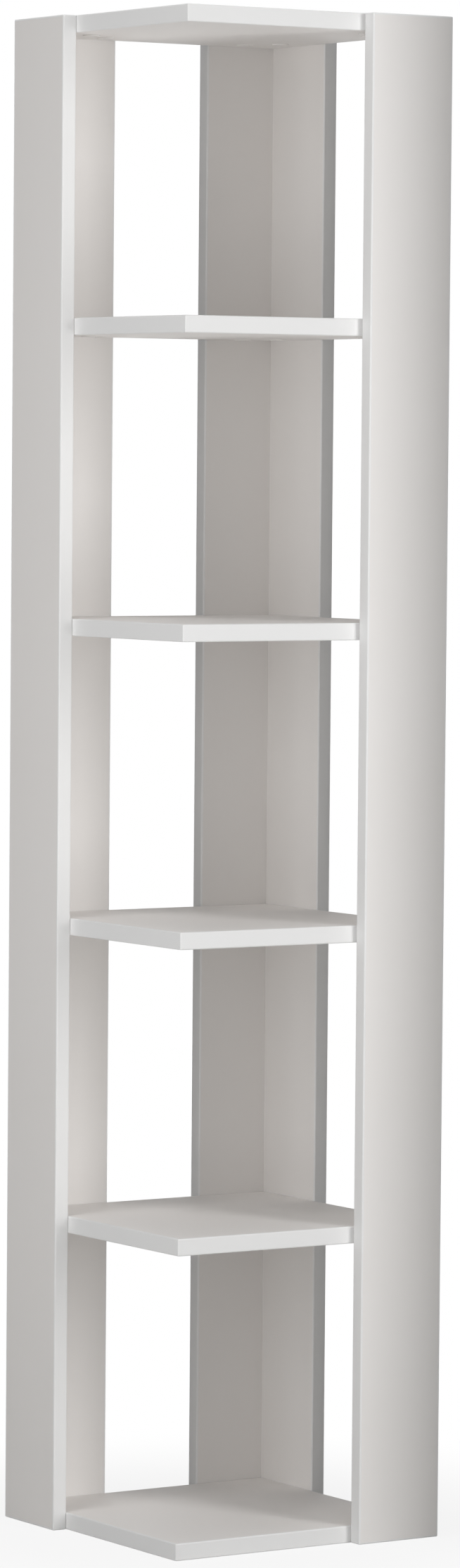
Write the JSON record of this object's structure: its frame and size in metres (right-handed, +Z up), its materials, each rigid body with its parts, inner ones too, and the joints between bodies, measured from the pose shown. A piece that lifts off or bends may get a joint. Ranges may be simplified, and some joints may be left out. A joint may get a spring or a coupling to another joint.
{
  "type": "corner bookcase",
  "caption": "Tall white corner bookcase: square open shelves held between L-shaped board posts by hidden cam locks and dowels, with the front corner left open.",
  "frame": {"origin": "on the floor, at the centre of the square footprint", "axes": "+Z up along the posts; +Y towards the rear wall and +X towards the side wall of the room's corner, so the open front corner is at -X -Y"},
  "size_m": [0.332, 0.332, 1.59],
  "materials": {
    "white_board": "matt white melamine on particle board, edges eased",
    "beech": "bare turned beech",
    "plated_steel": "zinc plated",
    "die_cast_zinc": "bare die-cast zinc",
    "white_plastic": "satin moulded white"
  },
  "bodies": {
    "root": {"bottom_shelf": "white_board", "second_shelf": "white_board", "third_shelf": "white_board", "fourth_shelf": "white_board", "fifth_shelf": "white_board", "top_shelf": "white_board", "left_post_side_board": "white_board", "left_post_rear_board": "white_board", "back_post_rear_board": "white_board", "back_post_side_board": "white_board", "right_post_front_board": "white_board", "right_post_side_board": "white_board", "left_post_dowels": "beech", "back_post_dowels": "beech", "right_post_dowels": "beech", "bottom_shelf_dowels": "beech", "second_shelf_dowels": "beech", "third_shelf_dowels": "beech", "fourth_shelf_dowels": "beech", "fifth_shelf_dowels": "beech", "top_shelf_dowels": "beech", "bottom_shelf_cam_bolts": "plated_steel", "second_shelf_cam_bolts": "plated_steel", "third_shelf_cam_bolts": "plated_steel", "fourth_shelf_cam_bolts": "plated_steel", "fifth_shelf_cam_bolts": "plated_steel", "top_shelf_cam_bolts": "plated_steel", "bottom_shelf_cam_locks": "die_cast_zinc", "second_shelf_cam_locks": "die_cast_zinc", "third_shelf_cam_locks": "die_cast_zinc", "fourth_shelf_cam_locks": "die_cast_zinc", "fifth_shelf_cam_locks": "die_cast_zinc", "top_shelf_cam_locks": "die_cast_zinc", "second_shelf_cam_caps": "white_plastic", "third_shelf_cam_caps": "white_plastic", "fourth_shelf_cam_caps": "white_plastic", "fifth_shelf_cam_caps": "white_plastic", "top_shelf_cam_caps": "white_plastic"}
  },
  "joints": []
}
